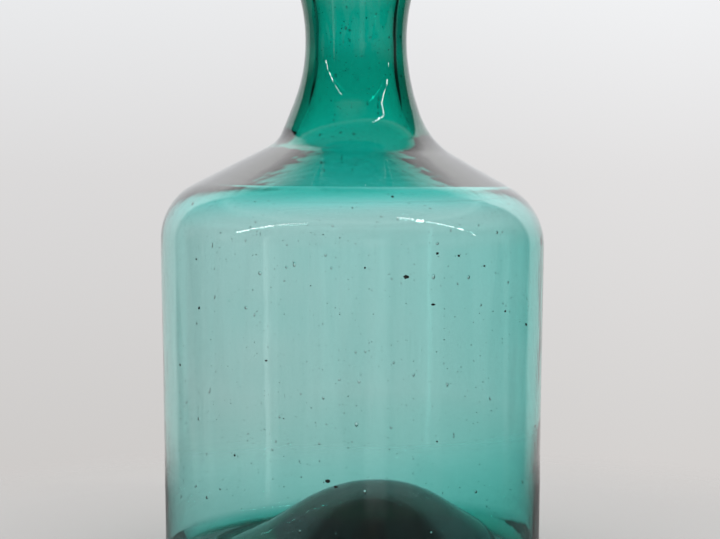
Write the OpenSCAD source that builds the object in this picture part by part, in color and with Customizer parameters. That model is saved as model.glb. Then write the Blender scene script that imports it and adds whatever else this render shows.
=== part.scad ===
// Free-blown cylindrical glass bottle: waisted neck, applied lip ring, kicked-up base and a cork stopper.
// Millimetres. The origin is the centre of the foot ring, on the surface the bottle stands on, with +Z up.

/* [Body] */
// Outside diameter of the body where it is widest, just under the shoulder
body_d = 150.4; // [144:0.2:156]
// How much narrower the body is at the heel than under the shoulder, across
body_taper = 3; // [1:0.2:5]
// Height of the mouth
bottle_h = 244; // [241:1:250]
// Height at which the shoulder's slope would meet the side, before it is rounded
shoulder_h = 144.4; // [143:0.2:146]
// Radius of the curve between shoulder and side
shoulder_round = 24.5; // [20:0.5:27]

/* [Neck] */
// Outside diameter of the neck at its waist
neck_d = 39.8; // [38:0.2:43]
// Height of the waist
waist_h = 208; // [206:1:211]
// Radius of the neck's hollow sweep
neck_sweep = 72; // [66:1:76]
// Lean of the neck's sides above the shoulder, in degrees
neck_lean = 20; // [18:0.5:21]
// Height at which the neck's slope would meet the shoulder's, before it is rounded
neck_foot_h = 169.2; // [168:0.2:170]
// Diameter of the straight stretch of the bore
bore_d = 29.2; // [26:0.2:31]

/* [Mouth] */
// Lean of the flared mouth's sides, in degrees
mouth_lean = 14; // [12:0.5:16]
// Glass thickness of the flared mouth
mouth_wall = 5.4; // [4.8:0.1:6.4]
// How far the lip ring stands proud of the neck
lip_ring_proud = 3.2; // [2.4:0.1:4]
// Height of the lip ring
lip_ring_h = 11; // [9:0.5:12]

/* [Glass] */
// Thickness of the shoulder where it meets the neck, measured upright
foot_wall = 5; // [4:0.2:6]
// Thickness of the shoulder at its outer edge, measured upright
edge_wall = 2; // [1.6:0.1:2.4]
// Wall thickness of the body at the heel
heel_wall = 1.8; // [1.6:0.1:3]
// Wall thickness of the body from the shoulder down to where it starts to thicken
side_wall = 1; // [1:0.1:1.8]
// Height at which the wall starts to thicken towards the heel
thin_wall_low_h = 60; // [50:1:80]
// Height of the gutter's floor, between the side and the kick
gutter_h = 8; // [7:0.5:10]
// Height of the kick's top inside the bottle
kick_h = 33; // [31:0.5:35]
// Thickness of the glass at the top of the kick
kick_wall = 17; // [14:0.5:18]

/* [Pontil scar] */
// Diameter of the glass that the pontil rod left under the kick
scar_d = 26; // [18:1:30]
// Thickness of that glass at its middle
scar_h = 2.8; // [2.6:0.1:4]

/* [Cork stopper] */
// Diameter of the cork's small end
cork_small_d = 34.4; // [30:0.2:34.4]
// Diameter of the cork's large end
cork_large_d = 43; // [40:0.5:44]
// Length of the cork
cork_l = 34; // [26:1:45]
// How far the cork goes into the mouth
cork_depth = 15; // [12:0.5:15]

/* [Hidden] */

turns = 96;          // facets of a full turn in the preview mesh
arc_step = 4;        // degrees between the points of an outline's arc

body_r = body_d / 2;
heel_r = body_r - body_taper / 2;
neck_r = neck_d / 2;
bore_r = bore_d / 2;

// The neck's slope and the mouth's meet at a corner inside the waist, and the sweep rounds that corner.
waist_turn = sin(neck_lean + mouth_lean);
waist_corner_r = neck_r - neck_sweep * ((sin(neck_lean) + sin(mouth_lean)) / waist_turn - 1);
waist_corner_h = waist_h - neck_sweep * (cos(mouth_lean) - cos(neck_lean)) / waist_turn;
neck_foot_r = waist_corner_r + (waist_corner_h - neck_foot_h) * tan(neck_lean);
mouth_r = waist_corner_r + (bottle_h - waist_corner_h) * tan(mouth_lean);
neck_foot_round = 22;
lip_round = 2.4;

// The glass is thin in the side and thickens under the shoulder towards the neck. The bore is straight
// through the waist.
side_in_r = body_r - side_wall;
heel_in_r = heel_r - heel_wall;
thin_wall_low_r = heel_r + (body_r - heel_r) * thin_wall_low_h / shoulder_h - side_wall;
thicken_round = 80;
shoulder_in_h = shoulder_h - 1.8;
shoulder_in_round = shoulder_round - 5;
foot_in_r = 26;
foot_in_h = shoulder_slope_h(foot_in_r) - foot_wall;
foot_in_round = 24;
edge_in_r = 62;
edge_in_h = shoulder_slope_h(edge_in_r) - edge_wall;
edge_in_round = 7;
bore_low_h = 190;
bore_low_round = 50;
bore_top_round = 60;
mouth_in_r = mouth_r - mouth_wall / cos(mouth_lean);
bore_top_h = bottle_h - (mouth_in_r - bore_r) / tan(mouth_lean);

// Foot ring, gutter and kick. The kick is a cone with a round top, seen from inside and from under the base.
heel_round = 9;
ring_in_r = 60;
ring_in_round = 5;
kick_lean = 32;
kick_apex_h = kick_h + 10;
kick_r = (kick_apex_h - gutter_h) / tan(kick_lean);
kick_foot_round = 14;
gutter_round = 7;
under_lean = 22;
under_h = kick_h - kick_wall;
under_apex_h = ring_in_r * tan(under_lean);

cork_edge = 0.8;
lip_ring_drop = 0.2;

// Stones in the wall of the body: [bearing in degrees from +X, height, diameter].
stones = [
    [-75, 120, 1.0], [-68, 110, 0.8], [-66, 128, 0.6], [-60, 127, 0.6], [-51, 123, 0.6], [-42, 106, 0.6],
    [-97, 48, 1.0], [-95, 46, 0.8], [-20, 60, 0.7], [15, 95, 0.8], [60, 40, 0.9], [85, 115, 0.6],
    [120, 75, 0.8], [150, 100, 0.9], [175, 50, 0.6], [-150, 85, 0.7], [-125, 55, 0.6], [-140, 125, 0.6]
];

function unit(v) = v / norm(v);
function flipped(p) = [for (i = [len(p) - 1 : -1 : 0]) p[i]];

// Points of an arc about c, of radius r, from angle a to angle b.
function arc(c, r, a, b) =
    let (n = max(2, ceil(abs(b - a) / arc_step)))
    [for (i = [0 : n]) c + r * [cos(a + (b - a) * i / n), sin(a + (b - a) * i / n)]];

// The corner at b on the way from a to c, rounded to radius r.
function corner(a, b, c, r) =
    let (
        u = unit(a - b),
        v = unit(c - b),
        half = acos(u * v) / 2,
        centre = b + unit(u + v) * r / sin(half),
        from = b + u * r / tan(half) - centre,
        to = b + v * r / tan(half) - centre,
        start = atan2(from[1], from[0]),
        turn = atan2(from[0] * to[1] - from[1] * to[0], from * to)
    )
    arc(centre, r, start, start + turn);

// An outline's corners [r, z, rounding], each rounded. The first and last points only give directions.
function rounded(p) = [
    for (i = [1 : len(p) - 2])
        let (a = [p[i - 1][0], p[i - 1][1]], b = [p[i][0], p[i][1]], c = [p[i + 1][0], p[i + 1][1]])
        each p[i][2] == 0 ? [b] : corner(a, b, c, p[i][2])
];

// The round top of a kick, from the axis outwards: a cone with its apex at apex_h, rounded down to top_h.
function kick_top(apex_h, top_h, lean) =
    let (r = (apex_h - top_h) / (1 / cos(lean) - 1))
    arc([0, top_h - r], r, 90, 90 - lean);

function wall_outline() = concat(
    kick_top(under_apex_h, under_h, under_lean),
    rounded([
        [0, under_apex_h],
        [ring_in_r, 0, ring_in_round],
        [heel_r, 0, heel_round],
        [body_r, shoulder_h, shoulder_round],
        [neck_foot_r, neck_foot_h, neck_foot_round],
        [waist_corner_r, waist_corner_h, neck_sweep],
        [mouth_r, bottle_h, lip_round],
        [mouth_in_r, bottle_h, lip_round],
        [bore_r, bore_top_h, bore_top_round],
        [bore_r, bore_low_h, bore_low_round],
        [foot_in_r, foot_in_h, foot_in_round],
        [edge_in_r, edge_in_h, edge_in_round],
        [side_in_r, shoulder_in_h, shoulder_in_round],
        [thin_wall_low_r, thin_wall_low_h, thicken_round],
        [heel_in_r, gutter_h, gutter_round],
        [kick_r, gutter_h, kick_foot_round],
        [0, kick_apex_h]
    ]),
    flipped(kick_top(kick_apex_h, kick_h, kick_lean))
);

// Half of the section through the blown glass, in the plane of the axis.
module wall_section() polygon(wall_outline());

// Height of the shoulder's outer slope at radius r, before its ends are rounded.
function shoulder_slope_h(r) =
    shoulder_h + (neck_foot_h - shoulder_h) * (body_r - r) / (body_r - neck_foot_r);

// Radius of the middle of the body's wall at height h, above where it thickens.
function mid_wall_r(h) = heel_r + (body_r - heel_r) * h / shoulder_h - side_wall / 2;

module vessel() {
    color("seagreen") rotate_extrude($fn = turns) wall_section();
}

// A trail of glass laid round the outside of the mouth: a round-ended band on the neck's surface.
module lip_ring() {
    top = [mouth_r, bottle_h] - (lip_ring_proud + lip_ring_drop) * [tan(mouth_lean), 1];
    low = top - (lip_ring_h - 2 * lip_ring_proud) * [tan(mouth_lean), 1];
    outline = concat(
        arc(top, lip_ring_proud, -mouth_lean, 180 - mouth_lean),
        arc(low, lip_ring_proud, 180 - mouth_lean, 360 - mouth_lean)
    );
    color("darkcyan") rotate_extrude($fn = turns) difference() {
        polygon(outline);
        wall_section();
    }
}

// The glass that the pontil rod left when it was broken off, filling the top of the hollow under the kick.
module pontil_scar() {
    color("darkslategray") rotate_extrude($fn = turns) difference() {
        translate([0, under_h - scar_h]) square([scar_d / 2, scar_h]);
        wall_section();
    }
}

// One stone, a grain that never melted, in the middle of the wall.
module stone(bearing, height, d) {
    rotate([0, 0, bearing]) translate([mid_wall_r(height), 0, height]) sphere(d = d, $fn = 24);
}

module stone_inclusions() {
    color("black") for (s = stones) stone(s[0], s[1], s[2]);
}

// A tapered bung with softened edges.
module cork_stopper() {
    low = bottle_h - cork_depth;
    outline = rounded([
        [0, low],
        [cork_small_d / 2, low, cork_edge],
        [cork_large_d / 2, low + cork_l, cork_edge],
        [0, low + cork_l]
    ]);
    color("burlywood") rotate_extrude($fn = turns)
        polygon(concat([[0, low]], outline, [[0, low + cork_l]]));
}

vessel();
lip_ring();
pontil_scar();
stone_inclusions();
cork_stopper();
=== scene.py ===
"""Looks for the free-blown glass bottle.

Hand-worked glass with stones, specks and seeds in its wall, and a cut cork.
"""

import math

import bmesh
import bpy
import numpy as np
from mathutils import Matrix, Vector, noise


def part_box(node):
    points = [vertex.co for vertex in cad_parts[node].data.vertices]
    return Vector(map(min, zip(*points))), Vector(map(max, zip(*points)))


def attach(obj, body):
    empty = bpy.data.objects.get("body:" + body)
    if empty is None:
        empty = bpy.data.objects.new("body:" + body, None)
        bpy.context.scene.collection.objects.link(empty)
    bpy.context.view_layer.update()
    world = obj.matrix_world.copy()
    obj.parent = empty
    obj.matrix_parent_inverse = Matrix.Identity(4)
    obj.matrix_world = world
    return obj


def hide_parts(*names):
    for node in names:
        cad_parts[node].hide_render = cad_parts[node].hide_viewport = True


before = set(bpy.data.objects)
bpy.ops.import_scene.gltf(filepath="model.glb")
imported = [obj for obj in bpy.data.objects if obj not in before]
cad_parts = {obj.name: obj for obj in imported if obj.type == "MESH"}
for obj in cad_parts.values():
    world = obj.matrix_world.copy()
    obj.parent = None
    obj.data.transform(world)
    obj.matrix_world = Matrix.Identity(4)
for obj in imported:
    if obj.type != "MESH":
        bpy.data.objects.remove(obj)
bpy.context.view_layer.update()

MM = 0.001
RANDOM = np.random.default_rng(1811)

# Camera: level with the shoulder, tipped down a little, in front of the bottle (-Y).
CAMERA_AT = Vector((0.0005, -0.640, 0.1555))
CAMERA_TIP = math.radians(3.32)
CAMERA_TURN = math.radians(-0.22)
LENS_MM = 81.2
SENSOR_MM = 36.0

# Around the glass: sides of a full turn, and points along each stretch of its section.
TURNS = 320
ARC_POINTS = 26
STRAIGHT_POINTS = 30

# Panes of the long windows in front of the bottle: x from and to, z, width and watts.
WINDOW_PANES = [
    (-3.9, -2.6, 1.30, 0.07, 5.0),
    (-2.4, -1.5, 1.30, 0.035, 2.0),
    (-1.4, -0.72, 1.30, 0.02, 0.5),
    (0.88, 1.30, 1.90, 0.03, 1.1),
    (1.36, 1.56, 1.84, 0.14, 2.2),
    (1.66, 2.9, 1.90, 0.035, 3.0),
    (3.4, 4.0, 1.95, 0.12, 4.0),
    (5.4, 6.2, 1.9, 0.14, 4.0),
]
WINDOW_Y = -1.25
WINDOW_AIM_Z = 0.1

# The table top: its radius, and how far it lies under the bottle.
FLOOR_RADIUS = 0.9
FLOOR_DROP = 0.0002

# How far the neck, with the cork in it, and the kick stand to the right of the axis, in mm.
NECK_SHIFT = 1.4
KICK_SHIFT = 9.0

# Heights in mm of the body's top, and of the stretch of neck that holds seeds and specks.
BODY_TOP = 150
NECK_HEIGHTS = (168, 238)

# How many seeds and fine specks the body and the neck hold.
BODY_SEEDS, NECK_SEEDS = 420, 150
BODY_SPECKS, NECK_SPECKS = 950, 420

GLASS_IOR = 1.52
GLASS_COLOR = (0.083, 0.86, 0.812)
GLASS_DENSITY = 600.0


# ---------------------------------------------------------------- camera and studio

def make_camera():
    data = bpy.data.cameras.new("camera")
    data.lens = LENS_MM
    data.sensor_width = SENSOR_MM
    camera = bpy.data.objects.new("camera", data)
    camera.location = CAMERA_AT
    camera.rotation_euler = (math.radians(90) - CAMERA_TIP, 0, CAMERA_TURN)
    bpy.context.scene.collection.objects.link(camera)
    bpy.context.scene.camera = camera


class Nodes:
    """A short way to write a node tree."""

    def __init__(self, tree):
        self.tree = tree
        tree.nodes.clear()

    def add(self, kind, inputs=None, **settings):
        node = self.tree.nodes.new(kind)
        for name, value in settings.items():
            setattr(node, name, value)
        for name, value in (inputs or {}).items():
            if isinstance(value, bpy.types.NodeSocket):
                self.tree.links.new(value, node.inputs[name])
            else:
                node.inputs[name].default_value = value
        return node

    def math(self, operation, *values):
        return self.add("ShaderNodeMath", dict(enumerate(values)), operation=operation).outputs[0]

    def ramp(self, value, stops):
        node = self.add("ShaderNodeValToRGB", {"Fac": value})
        elements = node.color_ramp.elements
        while len(elements) < len(stops):
            elements.new(0.5)
        for element, (place, color) in zip(elements, stops):
            element.position = place
            element.color = (*color, 1)
        return node.outputs["Color"]

    def mix(self, share, a, b, blend="MIX"):
        """Colours a and b blended by a share from 0 to 1. Sockets 0, 6 and 7 are the share, A and B."""
        node = self.add("ShaderNodeMix", data_type="RGBA", blend_type=blend)
        for socket, value in ((0, share), (6, a), (7, b)):
            if isinstance(value, bpy.types.NodeSocket):
                self.tree.links.new(value, node.inputs[socket])
            elif socket:
                node.inputs[socket].default_value = (*value, 1)
            else:
                node.inputs[socket].default_value = value
        return node.outputs[2]


def grey(level):
    return (level, level, level)


def room_tone(n, direction, elevation, bearing):
    """The dim room in front of the bottle: a table, a long soft lamp, lit door edges and vague clutter."""
    walls = n.ramp(elevation, [
        (0.30, grey(0.5)), (0.415, grey(0.4)), (0.452, grey(0.03)), (0.725, grey(0.03)),
        (0.742, grey(0.6)), (0.765, grey(0.25)), (0.80, grey(0.12)), (1.0, grey(0.2)),
    ])
    edges = n.ramp(bearing, [
        (0.136, grey(0)), (0.139, grey(0.8)), (0.145, grey(0.8)), (0.148, grey(0)),
        (0.940, grey(0)), (0.948, grey(0.35)), (0.972, grey(0.35)), (0.982, grey(0)),
    ])
    clouds = n.add("ShaderNodeTexNoise", {
        "Vector": direction, "Scale": 3.2, "Detail": 1.5, "Distortion": 0.6,
    })
    clutter = n.ramp(clouds.outputs["Fac"], [(0.52, grey(0)), (0.54, grey(0.14)), (0.62, grey(0.2))])
    below_lamp = n.ramp(elevation, [(0.36, grey(0)), (0.42, grey(1)), (0.56, grey(1)), (0.60, grey(0))])
    furniture = n.mix(1.0, n.mix(1.0, edges, clutter, "ADD"), below_lamp, "MULTIPLY")
    return n.mix(1.0, walls, furniture, "ADD")


def make_world():
    """A pale paper backdrop all round, and a dimmer room that only shows in reflections.

    What a ray sees depends on what it has met on its way, not on where the camera stands.
    """
    world = bpy.data.worlds.new("studio")
    bpy.context.scene.world = world
    world.use_nodes = True
    n = Nodes(world.node_tree)
    direction = n.add("ShaderNodeTexCoord").outputs["Generated"]
    split = n.add("ShaderNodeSeparateXYZ", {0: direction})
    x, y, z = split.outputs
    # Elevation is 0 to 1 from -90 to 90 degrees. Bearing is 0 to 1 from -Y round to -Y, with +Y at 0.5.
    elevation = n.math("ADD", n.math("DIVIDE", n.math("ARCSINE", z), math.pi), 0.5)
    bearing = n.math("ADD", n.math("DIVIDE", n.math("ARCTAN2", x, y), 2 * math.pi), 0.5)

    paper = n.ramp(elevation, [
        (0.30, (0.58, 0.555, 0.55)), (0.44, (0.62, 0.60, 0.585)), (0.455, (0.64, 0.625, 0.615)),
        (0.50, (0.72, 0.71, 0.71)), (0.54, (0.85, 0.86, 0.875)), (0.62, (1.0, 1.01, 1.03)),
        (0.70, grey(1.5)), (0.9, grey(1.2)),
    ])
    side_light = n.ramp(bearing, [
        (0.0, grey(0.55)), (0.2, grey(0.72)), (0.36, grey(0.94)), (0.5, grey(1.0)),
        (0.53, grey(1.06)), (0.66, grey(1.0)), (0.8, grey(0.75)), (1.0, grey(0.55)),
    ])
    backdrop = n.mix(1.0, paper, side_light, "MULTIPLY")
    path = n.add("ShaderNodeLightPath")
    reflected = n.math("MINIMUM", path.outputs["Glossy Depth"], 1.0)
    in_glass = n.math("MINIMUM", path.outputs["Transmission Depth"], 1.0)

    # In reflections the paper ends about 50 degrees to each side of +Y, and a lamp brightens its upper half.
    # A reflected ray that has also passed into glass sees that paper dimmed.
    lamp_glow = n.ramp(elevation, [
        (0.50, grey(1.0)), (0.58, grey(1.2)), (0.64, grey(1.35)), (0.70, grey(1.35)), (0.74, grey(1.0)),
    ])
    inner_glow = n.ramp(elevation, [(0.47, grey(0.9)), (0.53, grey(0.45))])
    dimmed = n.mix(in_glass, lamp_glow, inner_glow)
    lit_paper = n.mix(1.0, backdrop, dimmed, "MULTIPLY")
    behind = n.ramp(bearing, [
        (0.352, grey(0.0)), (0.364, grey(1.0)), (0.636, grey(1.0)), (0.648, grey(0.0)),
    ])
    paper_top = n.ramp(elevation, [(0.745, grey(1)), (0.79, grey(0))])
    on_paper = n.math("MULTIPLY", behind, paper_top)
    room = n.mix(on_paper, room_tone(n, direction, elevation, bearing), lit_paper)
    light = n.mix(reflected, backdrop, room)
    background = n.add("ShaderNodeBackground", {"Color": light, "Strength": 1.0})
    n.add("ShaderNodeOutputWorld", {"Surface": background.outputs[0]})


def make_window_pane(name, x_from, x_to, z, width, watts):
    """A strip of light parallel to X that shines at the bottle."""
    data = bpy.data.lights.new(name, "AREA")
    data.shape = "RECTANGLE"
    data.size = x_to - x_from
    data.size_y = width
    data.energy = watts
    light = bpy.data.objects.new(name, data)
    light.location = ((x_from + x_to) / 2, WINDOW_Y, z)
    aim = Vector((0, 0, WINDOW_AIM_Z)) - light.location
    aim.x = 0
    light.rotation_euler = aim.to_track_quat("-Z", "Y").to_euler()
    bpy.context.scene.collection.objects.link(light)


def make_floor():
    """A pale round table top that fades into the backdrop, with a painted shadow under the kick."""
    bm = bmesh.new()
    bmesh.ops.create_circle(bm, cap_ends=True, segments=128, radius=FLOOR_RADIUS)
    mesh = bpy.data.meshes.new("floor")
    bm.to_mesh(mesh)
    bm.free()
    floor = bpy.data.objects.new("floor", mesh)
    floor.location.z = -FLOOR_DROP
    bpy.context.scene.collection.objects.link(floor)
    material = bpy.data.materials.new("floor_paper")
    material.use_nodes = True
    n = Nodes(material.node_tree)
    place = n.add("ShaderNodeTexCoord").outputs["Object"]
    kick_foot = (KICK_SHIFT * MM, 0, 0)
    distance = n.add("ShaderNodeVectorMath", {0: place}, operation="LENGTH")
    from_kick = n.add("ShaderNodeVectorMath", {0: place, 1: kick_foot}, operation="DISTANCE")
    fade = n.ramp(distance.outputs["Value"], [(0.20, grey(1)), (0.29, grey(0))])
    # Painted shadow: the paper's colour is dark within about 46 mm of the point under the kick, lightening
    # out to 66 mm.
    painted_shadow = n.ramp(from_kick.outputs["Value"], [
        (0.046, (0.10, 0.097, 0.094)), (0.066, (0.59, 0.575, 0.565)),
    ])
    paper = n.add("ShaderNodeBsdfDiffuse", {"Color": painted_shadow})
    clear = n.add("ShaderNodeBsdfTransparent")
    both = n.add("ShaderNodeMixShader", {0: fade, 1: clear.outputs[0], 2: paper.outputs[0]})
    n.add("ShaderNodeOutputMaterial", {"Surface": both.outputs[0]})
    mesh.materials.append(material)


# ---------------------------------------------------------------- the section through the glass

def arc(centre, radius, start, end):
    """Points of an arc between two angles in degrees."""
    angles = np.radians(np.linspace(start, end, ARC_POINTS))
    return np.stack([centre[0] + radius * np.cos(angles), centre[1] + radius * np.sin(angles)], 1)


def straight(a, b):
    """Points between a and b, without the ends."""
    share = np.linspace(0, 1, STRAIGHT_POINTS + 2)[1:-1, None]
    return np.array(a) * (1 - share) + np.array(b) * share


def corner(a, b, c, radius):
    """The corner at b on the way from a to c, rounded."""
    a, b, c = (np.array(p, float) for p in (a, b, c))
    u = (a - b) / np.linalg.norm(a - b)
    v = (c - b) / np.linalg.norm(c - b)
    half = math.acos(float(np.clip(u @ v, -1, 1))) / 2
    centre = b + (u + v) / np.linalg.norm(u + v) * radius / math.sin(half)
    start = b + u * radius / math.tan(half) - centre
    end = b + v * radius / math.tan(half) - centre
    first = math.degrees(math.atan2(start[1], start[0]))
    turn = math.degrees(math.atan2(start[0] * end[1] - start[1] * end[0], start @ end))
    return arc(centre, radius, first, first + turn)


def kick_top(apex, top, lean):
    """The round top of the kick, from the axis outwards, in mm."""
    radius = (apex - top) / (1 / math.cos(math.radians(lean)) - 1)
    return arc((0, top - radius), radius, 90, 90 - lean)


def section(neck_foot, shoulder, inner_foot, inner_edge, inner_side, side_wall, heel_wall, gutter_round):
    """The half section of the blown glass in mm, from under the kick over the lip to the kick's top.

    neck_foot and shoulder are corners of the outside, as (height, rounding). inner_foot, inner_edge and
    inner_side are corners of the inside under the shoulder, as (radius, height, rounding).
    """
    # The sizes repeat the CAD's, except that the gutter's floor is 1.5 mm lower.
    body_r, heel_r, heel_round = 75.2, 73.7, 9.0
    neck_r, bore_r, sweep = 19.9, 14.6, 72.0
    mouth_h, waist_h, bore_low_h = 244.0, 208.0, 190.0
    mouth_wall, lip_round = 5.4, 2.4
    bore_top_round, bore_low_round = 60.0, 50.0
    neck_lean, mouth_lean = math.radians(20), math.radians(14)
    turn = math.sin(neck_lean + mouth_lean)
    waist_corner_r = neck_r - sweep * ((math.sin(neck_lean) + math.sin(mouth_lean)) / turn - 1)
    waist_corner_h = waist_h - sweep * (math.cos(mouth_lean) - math.cos(neck_lean)) / turn
    neck_foot_r = waist_corner_r + (waist_corner_h - neck_foot[0]) * math.tan(neck_lean)
    mouth_r = waist_corner_r + (mouth_h - waist_corner_h) * math.tan(mouth_lean)
    mouth_in_r = mouth_r - mouth_wall / math.cos(mouth_lean)
    bore_top_h = mouth_h - (mouth_in_r - bore_r) / math.tan(mouth_lean)

    thin_wall_low_r, thin_wall_low_h, thicken_round = 74.3, 60.0, 80.0
    ring_in_r, ring_in_round, under_lean, under_h = 60.0, 5.0, 22.0, 16.0
    under_apex = ring_in_r * math.tan(math.radians(under_lean))
    gutter_h, kick_lean, kick_h, kick_apex, kick_foot_round = 6.5, 32.0, 33.0, 43.0, 14.0
    kick_r = (kick_apex - gutter_h) / math.tan(math.radians(kick_lean))

    # Corners as radius, height and rounding. The first and last only give directions.
    corners = [
        (0, under_apex, 0),
        (ring_in_r, 0, ring_in_round),
        (heel_r, 0, heel_round),
        (body_r, *shoulder),
        (neck_foot_r, *neck_foot),
        (waist_corner_r, waist_corner_h, sweep),
        (mouth_r, mouth_h, lip_round),
        (mouth_in_r, mouth_h, lip_round),
        (bore_r, bore_top_h, bore_top_round),
        (bore_r, bore_low_h, bore_low_round),
        inner_foot,
        inner_edge,
        inner_side,
        (thin_wall_low_r - side_wall, thin_wall_low_h, thicken_round),
        (heel_r - heel_wall, gutter_h, gutter_round),
        (kick_r, gutter_h, kick_foot_round),
        (0, kick_apex, 0),
    ]
    stretches = [kick_top(under_apex, under_h, under_lean)]
    for before, here, after in zip(corners, corners[1:], corners[2:]):
        bend = corner(before[:2], here[:2], after[:2], here[2])
        stretches.append(straight(stretches[-1][-1], bend[0]))
        stretches.append(bend)
    top = kick_top(kick_apex, kick_h, kick_lean)[::-1]
    stretches.append(straight(stretches[-1][-1], top[0]))
    stretches.append(top)
    return np.concatenate(stretches)


# ---------------------------------------------------------------- mesh helpers

def lathe(points):
    """Vertices and faces of a closed surface from an array of turns by section points, ends on the axis."""
    turns, count = points.shape[:2]
    rows = count - 2
    first_end, last_end = points[:, 0].mean(0), points[:, -1].mean(0)
    vertices = np.concatenate([[first_end], [last_end], points[:, 1:-1].reshape(-1, 3)])
    faces = []
    for t in range(turns):
        here = 2 + t * rows
        there = 2 + (t + 1) % turns * rows
        faces.append((there, here, 0))
        faces.append((here + rows - 1, there + rows - 1, 1))
        faces += [(there + i, there + i + 1, here + i + 1, here + i) for i in range(rows - 1)]
    return vertices, faces


def ring(points):
    """Vertices and faces of a ring from an array of turns by section points, none of them on the axis."""
    turns, rows = points.shape[:2]
    faces = []
    for t in range(turns):
        here = t * rows
        there = (t + 1) % turns * rows
        for i in range(rows):
            j = (i + 1) % rows
            faces.append((there + i, there + j, here + j, here + i))
    return points.reshape(-1, 3), faces


def ball(subdivisions):
    """Vertices and faces of a unit ball."""
    bm = bmesh.new()
    bmesh.ops.create_icosphere(bm, subdivisions=subdivisions, radius=1)
    vertices = np.array([v.co[:] for v in bm.verts])
    faces = [tuple(v.index for v in f.verts) for f in bm.faces]
    bm.free()
    return vertices, faces


def joined(parts):
    """One set of vertices and faces from several."""
    vertices, faces, start = [], [], 0
    for part_vertices, part_faces in parts:
        vertices.append(part_vertices)
        faces += [tuple(start + i for i in face) for face in part_faces]
        start += len(part_vertices)
    return np.concatenate(vertices), faces


def make_piece(name, shape, material, body, node):
    """A smooth mesh that rides on a body and stands for a CAD node."""
    vertices, faces = shape
    mesh = bpy.data.meshes.new(name)
    mesh.from_pydata(vertices.tolist(), [], faces)
    mesh.polygons.foreach_set("use_smooth", [True] * len(mesh.polygons))
    mesh.materials.append(material)
    piece = bpy.data.objects.new(name, mesh)
    bpy.context.scene.collection.objects.link(piece)
    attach(piece, body)
    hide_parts(node)


# ---------------------------------------------------------------- the blown glass

def smooth_step(value, low, high):
    """From 0 at low to 1 at high, without corners."""
    t = np.clip((value - low) / (high - low), 0, 1)
    return t * t * (3 - 2 * t)


def lumps(bearing, height, waves, seed):
    """A smooth random unevenness of about -1 to 1, over bearing in radians and height in mm."""
    random = np.random.default_rng(seed)
    total = np.zeros(np.broadcast(bearing, height).shape)
    for turns, length in waves:
        phase_a, phase_b = random.uniform(0, 2 * math.pi, 2)
        total += np.sin(turns * bearing + phase_a + 0.8 * np.sin(2 * math.pi * height / length + phase_b))
        total += np.sin(2 * math.pi * height / length + phase_b + np.sin(turns * bearing))
    return total / (2 * len(waves))


def blown_points():
    """Every point of the glass in metres, as an array of turns by section points."""
    left = section(
        neck_foot=(168.8, 10), shoulder=(145.6, 24), inner_foot=(26, 166.1, 20), inner_edge=(61, 151.1, 7),
        inner_side=(74.7, 144.7, 21.5), side_wall=0.44, heel_wall=0.8, gutter_round=4,
    )
    right = section(
        neck_foot=(169.2, 32), shoulder=(143.2, 26), inner_foot=(26, 166.3, 28), inner_edge=(60.5, 150.4, 7),
        inner_side=(74.2, 142.3, 22.5), side_wall=0.88, heel_wall=2.4, gutter_round=10,
    )
    bearing = np.linspace(0, 2 * math.pi, TURNS, endpoint=False)[:, None]
    to_right = ((1 + np.cos(bearing)) / 2)[..., None]
    outline = left[None] * (1 - to_right) + right[None] * to_right
    radius, height = outline[..., 0], outline[..., 1]

    # Hand work, in mm: both faces of the wall wander together, and the inner face a little on its own.
    wander_depth, uneven_depth = 0.16, 0.07
    shoulder_end, neck_start, calm_radius = 165, 200, 20
    inner = np.arange(outline.shape[1]) > int(np.argmax(left[:, 1]))
    wander = wander_depth * lumps(bearing, height, [(2, 180), (3, 95), (5, 60)], 4)
    uneven = uneven_depth * lumps(bearing, height, [(3, 70), (7, 34), (4, 25)], 9)
    in_body = 1 - smooth_step(height, BODY_TOP, shoulder_end)
    away_from_axis = np.clip(radius / calm_radius, 0, 1)
    radius = radius + away_from_axis * (wander + in_body * inner * uneven)

    x = radius * np.cos(bearing)
    y = radius * np.sin(bearing)
    x = x + NECK_SHIFT * smooth_step(height, BODY_TOP, neck_start)
    kick_radius, foot_radius, above_kick = 42, 66, 40
    x = x + KICK_SHIFT * (1 - smooth_step(radius, kick_radius, foot_radius)) * (height < above_kick)
    return np.stack([x, y, height], -1) * MM


def wall_at(points, bearing, height):
    """The outer and the inner point of the glass at a bearing in radians and a height in metres."""
    column = points[round(bearing / (2 * math.pi) * TURNS) % TURNS]
    lip = int(np.argmax(column[:, 2]))
    found = []
    for face in (column[:lip + 1], column[lip:][::-1]):
        rising = face[int(np.argmin(face[:, 2])):]
        found.append(np.array([np.interp(height, rising[:, 2], rising[:, k]) for k in range(3)]))
    return found


def wall_frame(points, bearing, height):
    """Middle of the wall, its thickness, and the directions outwards, around and up."""
    outer, inner = wall_at(points, bearing, height)
    outwards = np.array([math.cos(bearing), math.sin(bearing), 0])
    around = np.array([-math.sin(bearing), math.cos(bearing), 0])
    thickness = float(np.linalg.norm(outer - inner))
    return (outer + inner) / 2, thickness, np.stack([outwards, around, (0, 0, 1)])


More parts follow.
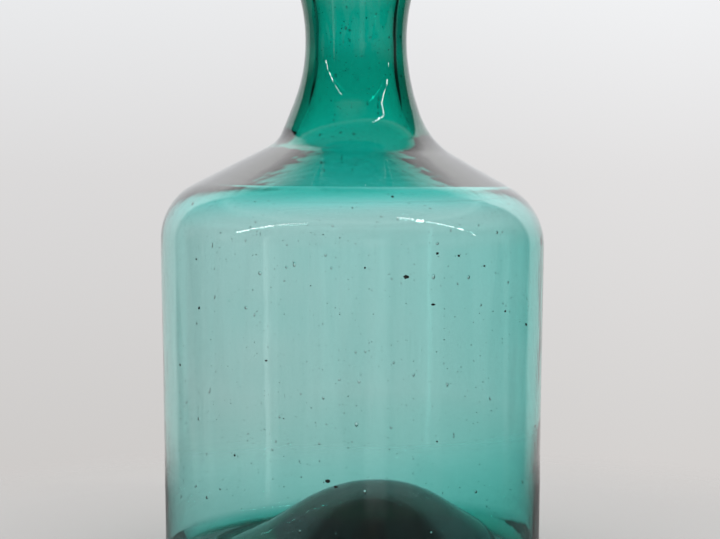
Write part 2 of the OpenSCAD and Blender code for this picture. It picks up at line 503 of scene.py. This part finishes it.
def seed_shapes(points):
    """Seeds: small bubbles in the glass, as cavities whose faces look inwards."""
    vertices, faces = ball(2)
    cavity = [face[::-1] for face in faces]
    lowest, smallest = 10, 0.14
    places = [(height, 0.60) for height in RANDOM.uniform(lowest, BODY_TOP, BODY_SEEDS)]
    places += [(height, 0.50) for height in RANDOM.uniform(*NECK_HEIGHTS, NECK_SEEDS)]
    shapes = []
    for height, largest in places:
        middle, thickness, axes = wall_frame(points, RANDOM.uniform(0, 2 * math.pi), height * MM)
        width = smallest + (largest - smallest) * RANDOM.random() ** 3
        flat = min(width, 0.3 * thickness / MM)
        middle = middle + axes[0] * RANDOM.uniform(-0.15, 0.15) * thickness
        size = np.array([flat, width * RANDOM.uniform(0.9, 1.3), width * RANDOM.uniform(1.0, 1.9)]) * MM
        shapes.append((middle + (vertices * size) @ axes, cavity))
    return shapes


def lip_ring_points(points):
    """The trail laid round the mouth: a band on the neck, thicker where its end overlaps its start."""
    low, high, proud, fullness = 232.9, 243.6, 3.2, 0.8
    lap_bearing, lap_rise, lap_width, groove_away, groove_width = 140, 0.7, 9, 15, 4
    highest_neck, front_gap, back_gap = 243.0, 0.04, 0.03
    middle, half = (low + high) / 2, (high - low) / 2
    across = np.linspace(-math.pi / 2, math.pi / 2, 40)
    columns = []
    for t in range(TURNS):
        bearing = 2 * math.pi * t / TURNS
        outwards = np.array([math.cos(bearing), math.sin(bearing), 0])
        away = math.degrees(math.remainder(bearing - math.radians(lap_bearing), 2 * math.pi))
        lap = lap_rise * math.exp(-(away / lap_width) ** 2)
        lap -= lap_rise * math.exp(-((away - groove_away) / groove_width) ** 2)
        swell = proud + lap + 0.25 * math.sin(2 * bearing + 1) + 0.15 * math.sin(5 * bearing)
        shift = 0.35 * math.sin(bearing + 2) + 0.15 * math.sin(4 * bearing)
        outside, back = [], []
        for angle in across:
            height = middle + half * math.copysign(abs(math.sin(angle)) ** fullness, math.sin(angle))
            neck = wall_at(points, bearing, min(height, highest_neck) * MM)[0]
            rise = (height + shift * math.cos(angle)) * MM
            stand = front_gap + swell * math.cos(angle) ** fullness
            outside.append(np.array([neck[0], neck[1], rise]) + outwards * stand * MM)
            back.append(np.array([neck[0], neck[1], height * MM]) + outwards * back_gap * MM)
        columns.append(outside + back[-2:0:-1])
    return np.array(columns)


def pontil_scar_points(points):
    """Broken glass under the kick: a ring of chipped ridges where the rod was snapped off."""
    radius, gap, chip_scale, flake_scale = 13.0, 0.03, 420, 330
    ridge_share, ridge_width, edge_sharpness = 0.78, 0.16, 14
    turns, shares = 120, np.linspace(0, 1, 30)
    # The first points of a section run outwards from the axis under the kick.
    under_kick = slice(0, 60)
    centre = Vector(points[:, 0].mean(0))
    under, top = [], []
    for t in range(turns):
        bearing = 2 * math.pi * t / turns
        side = points[round(t / turns * TURNS) % TURNS]
        edge = radius * (1 + 0.07 * noise.noise((math.cos(bearing) * 2, math.sin(bearing) * 2, 3)))
        under_row, top_row = [], []
        for share in shares:
            r = share * edge * MM
            place = Vector((centre.x + r * math.cos(bearing), centre.y + r * math.sin(bearing), 0))
            reach = np.hypot(side[under_kick, 0] - centre.x, side[under_kick, 1] - centre.y)
            ceiling = float(np.interp(r, reach, side[under_kick, 2])) - gap * MM
            chips = noise.fractal((place.x * chip_scale, place.y * chip_scale, 1.3), 1.0, 2.0, 4)
            flakes = noise.cell((place.x * flake_scale + 7, place.y * flake_scale, 2.0))
            ridge = math.exp(-((share - ridge_share) / ridge_width) ** 2)
            depth = 0.5 + 1.6 * ridge + 0.5 * abs(chips) + 0.35 * flakes
            depth *= 1 - share ** edge_sharpness
            top_row.append((place.x, place.y, ceiling))
            under_row.append((place.x, place.y, ceiling - (0.02 + depth) * MM))
        under.append(under_row)
        top.append(top_row)
    return np.concatenate([np.array(under), np.array(top)[:, ::-1]], 1)


# ---------------------------------------------------------------- stones and cork

def grains(mesh):
    """Middle and radius of each separate grain of a mesh."""
    bm = bmesh.new()
    bm.from_mesh(mesh)
    left = set(bm.verts)
    found = []
    while left:
        grain, edge = [], [left.pop()]
        while edge:
            vertex = edge.pop()
            grain.append(vertex.co.copy())
            for link in vertex.link_edges:
                other = link.other_vert(vertex)
                if other in left:
                    left.remove(other)
                    edge.append(other)
        spots = np.array(grain)
        middle = (spots.min(0) + spots.max(0)) / 2
        found.append((middle, float(np.linalg.norm(spots - middle, axis=1).max())))
    bm.free()
    return sorted(found, key=lambda grain: -grain[1])


def speck_shapes(points):
    """Specks: fine dark grains scattered all over the body and the neck."""
    vertices, faces = ball(1)
    lowest = 12
    in_body = RANDOM.uniform(lowest, BODY_TOP, BODY_SPECKS)
    in_neck = RANDOM.uniform(*NECK_HEIGHTS, NECK_SPECKS)
    shapes = []
    for height in np.concatenate([in_body, in_neck]):
        place, thickness, axes = wall_frame(points, RANDOM.uniform(0, 2 * math.pi), height * MM)
        radius = (0.10 + 0.12 * RANDOM.random() ** 1.5) * MM
        place = place + axes[0] * RANDOM.uniform(-0.2, 0.2) * thickness
        size = np.array([min(radius, 0.22 * thickness), radius * RANDOM.uniform(0.8, 1.5), radius])
        rough = RANDOM.uniform(0.7, 1.2, (len(vertices), 1))
        shapes.append((place + (vertices * rough * size) @ axes, faces))
    return shapes


def stone_shapes(points):
    """Stones: grains of sand and brick that never melted, lying flat in the wall."""
    vertices, faces = ball(3)
    shapes = []
    for number, (middle, radius) in enumerate(grains(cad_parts["stone_inclusions"].data)):
        bearing = math.atan2(middle[1], middle[0]) % (2 * math.pi)
        place, thickness, axes = wall_frame(points, bearing, middle[2])
        rough = [1 + 0.55 * noise.noise(Vector(v) * 1.7 + Vector((number * 7, 0, 0)))
                 + 0.18 * noise.noise(Vector(v) * 5 + Vector((0, number * 5, 0))) for v in vertices]
        flat = min(radius, 0.34 * thickness)
        size = np.array([flat, radius * RANDOM.uniform(1.3, 1.9), radius * RANDOM.uniform(0.9, 1.5)])
        shapes.append((place + (vertices * np.array(rough)[:, None] * size) @ axes, faces))
    return shapes


def cork_points():
    """A cut cork: tapered, with rounded edges, long pores and small pits."""
    low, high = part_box("cork_stopper")
    bottom, top = low[2] / MM, high[2] / MM
    small, large, edge = 17.2, 21.5, 1.2
    low_end = [(0, bottom)] + [(r, bottom) for r in np.linspace(1, small - edge, 30)]
    top_end = [(r, top) for r in np.linspace(large - edge, 1, 36)[1:]] + [(0, top)]
    side = np.linspace(bottom + edge, top - edge, 110)[1:-1]
    outline = low_end + arc((small - edge, bottom + edge), edge, -90, 0)[1:].tolist()
    outline += [(small + (large - small) * (h - bottom) / (top - bottom), h) for h in side]
    outline += arc((large - edge, top - edge), edge, 0, 90).tolist() + top_end
    turns, rim, pore_level, pit_level = 240, 2, 0.36, 0.42
    grid = np.zeros((turns, len(outline), 3))
    for t in range(turns):
        bearing = 2 * math.pi * t / turns
        for i, (r, h) in enumerate(outline):
            place = Vector((r * math.cos(bearing), r * math.sin(bearing), h))
            pore = noise.noise((place.x * 0.34, place.y * 1.1, place.z * 1.1))
            pit = noise.noise(place * 1.6 + Vector((9, 4, 1)))
            worn = noise.noise(place * 0.11)
            depth = 0.55 * max(0, pore - pore_level) / (1 - pore_level)
            depth += 0.25 * max(0, pit - pit_level) / (1 - pit_level)
            inside = 0.02 + 0.10 * (1 + worn) + 2.0 * depth
            if i < len(low_end) or i >= len(outline) - len(top_end):
                towards = 1 if h < (bottom + top) / 2 else -1
                grid[t, i] = (place.x, place.y, h + towards * inside * min(1, (large - r) / rim))
            else:
                grid[t, i] = ((r - inside) * math.cos(bearing), (r - inside) * math.sin(bearing), h)
    return (grid + np.array([NECK_SHIFT, 0, 0])) * MM


# ---------------------------------------------------------------- materials

def new_material(name):
    material = bpy.data.materials.new(name)
    material.use_nodes = True
    return material, Nodes(material.node_tree)


def glass_material(name, roughness):
    """Old green glass: faint smears and ripples on the surface, and a foot worn dull where it stands."""
    material, n = new_material(name)
    smear_roughness, worn_roughness = 0.035, 0.45
    place = n.add("ShaderNodeTexCoord").outputs["Object"]
    height = n.add("ShaderNodeSeparateXYZ", {0: place}).outputs[2]
    smears = n.add("ShaderNodeTexNoise", {"Vector": place, "Scale": 38.0, "Detail": 5.0, "Distortion": 1.2})
    scratches = n.add("ShaderNodeTexNoise", {
        "Vector": n.add("ShaderNodeMapping", {"Vector": place, "Scale": (900, 900, 60)}).outputs[0],
        "Scale": 1.0, "Detail": 3.0,
    })
    smeared = n.add("ShaderNodeMapRange", {
        "Value": smears.outputs["Fac"], "From Min": 0.42, "From Max": 0.75,
        "To Min": roughness, "To Max": roughness + smear_roughness,
    })
    worn = n.add("ShaderNodeMapRange", {
        "Value": n.math("ADD", height, n.math("MULTIPLY", smears.outputs["Fac"], 0.0016)),
        "From Min": 0.0009, "From Max": 0.0022, "To Min": 1.0, "To Max": 0.0,
    })
    rubbed = n.math("MULTIPLY", worn.outputs[0], worn_roughness)
    rough = n.math("MAXIMUM", smeared.outputs[0], rubbed)
    tone = n.ramp(scratches.outputs["Fac"], [(0.3, (0.975, 0.99, 0.985)), (0.6, (1, 1, 1))])
    ripples = n.add("ShaderNodeTexNoise", {
        "Vector": n.add("ShaderNodeMapping", {"Vector": place, "Scale": (95, 95, 32)}).outputs[0],
        "Scale": 1.0, "Detail": 2.0,
    })
    worn_scratches = n.math("MULTIPLY", scratches.outputs["Fac"], worn.outputs[0])
    relief = n.math("ADD", ripples.outputs["Fac"], worn_scratches)
    bump = n.add("ShaderNodeBump", {"Height": relief, "Distance": 0.00025, "Strength": 0.35})
    glass = n.add("ShaderNodeBsdfPrincipled", {
        "Base Color": tone, "Roughness": rough, "IOR": GLASS_IOR, "Transmission Weight": 1.0,
        "Normal": bump.outputs[0],
    })
    absorption = n.add("ShaderNodeVolumeAbsorption", {"Color": (*GLASS_COLOR, 1), "Density": GLASS_DENSITY})
    n.add("ShaderNodeOutputMaterial", {"Surface": glass.outputs[0], "Volume": absorption.outputs[0]})
    return material


def stone_material():
    """Dark unmelted grains, rough and speckled with brown."""
    material, n = new_material("stone_grain")
    place = n.add("ShaderNodeTexCoord").outputs["Object"]
    speckle = n.add("ShaderNodeTexNoise", {"Vector": place, "Scale": 2600.0, "Detail": 4.0})
    color = n.ramp(speckle.outputs["Fac"], [
        (0.3, (0.006, 0.006, 0.005)), (0.55, (0.02, 0.017, 0.012)), (0.75, (0.09, 0.07, 0.05)),
    ])
    rough = n.add("ShaderNodeMapRange", {"Value": speckle.outputs["Fac"], "To Min": 0.45, "To Max": 0.9})
    bump = n.add("ShaderNodeBump", {"Height": speckle.outputs["Fac"], "Distance": 0.0001, "Strength": 0.6})
    grain = n.add("ShaderNodeBsdfPrincipled", {
        "Base Color": color, "Roughness": rough.outputs[0], "Normal": bump.outputs[0],
    })
    n.add("ShaderNodeOutputMaterial", {"Surface": grain.outputs[0]})
    return material


def cork_material():
    """Cork bark: fine cells, darker growth bands across, and dark powdery pores."""
    material, n = new_material("cork_bark")
    place = n.add("ShaderNodeTexCoord").outputs["Object"]
    cells = n.add("ShaderNodeTexVoronoi", {"Vector": place, "Scale": 900.0, "Randomness": 1.0})
    clouds = n.add("ShaderNodeTexNoise", {"Vector": place, "Scale": 120.0, "Detail": 7.0, "Roughness": 0.62})
    bands = n.add("ShaderNodeTexWave", {
        "Vector": place, "Scale": 55.0, "Distortion": 6.0, "Detail": 4.0, "Detail Scale": 2.0,
    }, bands_direction="Y")
    pores = n.add("ShaderNodeTexNoise", {
        "Vector": n.add("ShaderNodeMapping", {"Vector": place, "Scale": (340, 1100, 1100)}).outputs[0],
        "Scale": 1.0, "Detail": 3.0,
    })
    base = n.ramp(clouds.outputs["Fac"], [
        (0.28, (0.20, 0.105, 0.048)), (0.5, (0.42, 0.255, 0.125)), (0.72, (0.56, 0.37, 0.20)),
    ])
    banded = n.mix(n.math("MULTIPLY", bands.outputs["Fac"], 0.35), base, (0.27, 0.14, 0.065))
    dark = n.ramp(pores.outputs["Fac"], [(0.60, grey(0)), (0.68, grey(1))])
    color = n.mix(dark, banded, (0.055, 0.026, 0.013))
    relief = n.math("ADD", n.math("MULTIPLY", cells.outputs["Distance"], 0.5), clouds.outputs["Fac"])
    relief = n.math("SUBTRACT", relief, n.math("MULTIPLY", dark, 0.8))
    bump = n.add("ShaderNodeBump", {"Height": relief, "Distance": 0.0004, "Strength": 0.7})
    rough = n.add("ShaderNodeMapRange", {"Value": clouds.outputs["Fac"], "To Min": 0.72, "To Max": 0.95})
    bark = n.add("ShaderNodeBsdfPrincipled", {
        "Base Color": color, "Roughness": rough.outputs[0], "Normal": bump.outputs[0],
    })
    n.add("ShaderNodeOutputMaterial", {"Surface": bark.outputs[0]})
    return material


# ---------------------------------------------------------------- the scene

make_camera()
make_world()
make_floor()
for number, pane in enumerate(WINDOW_PANES):
    make_window_pane(f"window_pane_{number}", *pane)

glass = glass_material("bottle_glass", 0.0)
chipped = glass_material("chipped_glass", 0.32)
wall = blown_points()
blown = joined([lathe(wall)] + seed_shapes(wall))
make_piece("blown_vessel", blown, glass, "bottle", "vessel")
make_piece("laid_lip_trail", ring(lip_ring_points(wall)), glass, "bottle", "lip_ring")
make_piece("broken_pontil", lathe(pontil_scar_points(wall)), chipped, "bottle", "pontil_scar")
grit = joined(stone_shapes(wall) + speck_shapes(wall))
make_piece("wall_stones", grit, stone_material(), "bottle", "stone_inclusions")
make_piece("cut_cork", lathe(cork_points()), cork_material(), "stopper", "cork_stopper")

bpy.context.scene.view_settings.view_transform = "Standard"
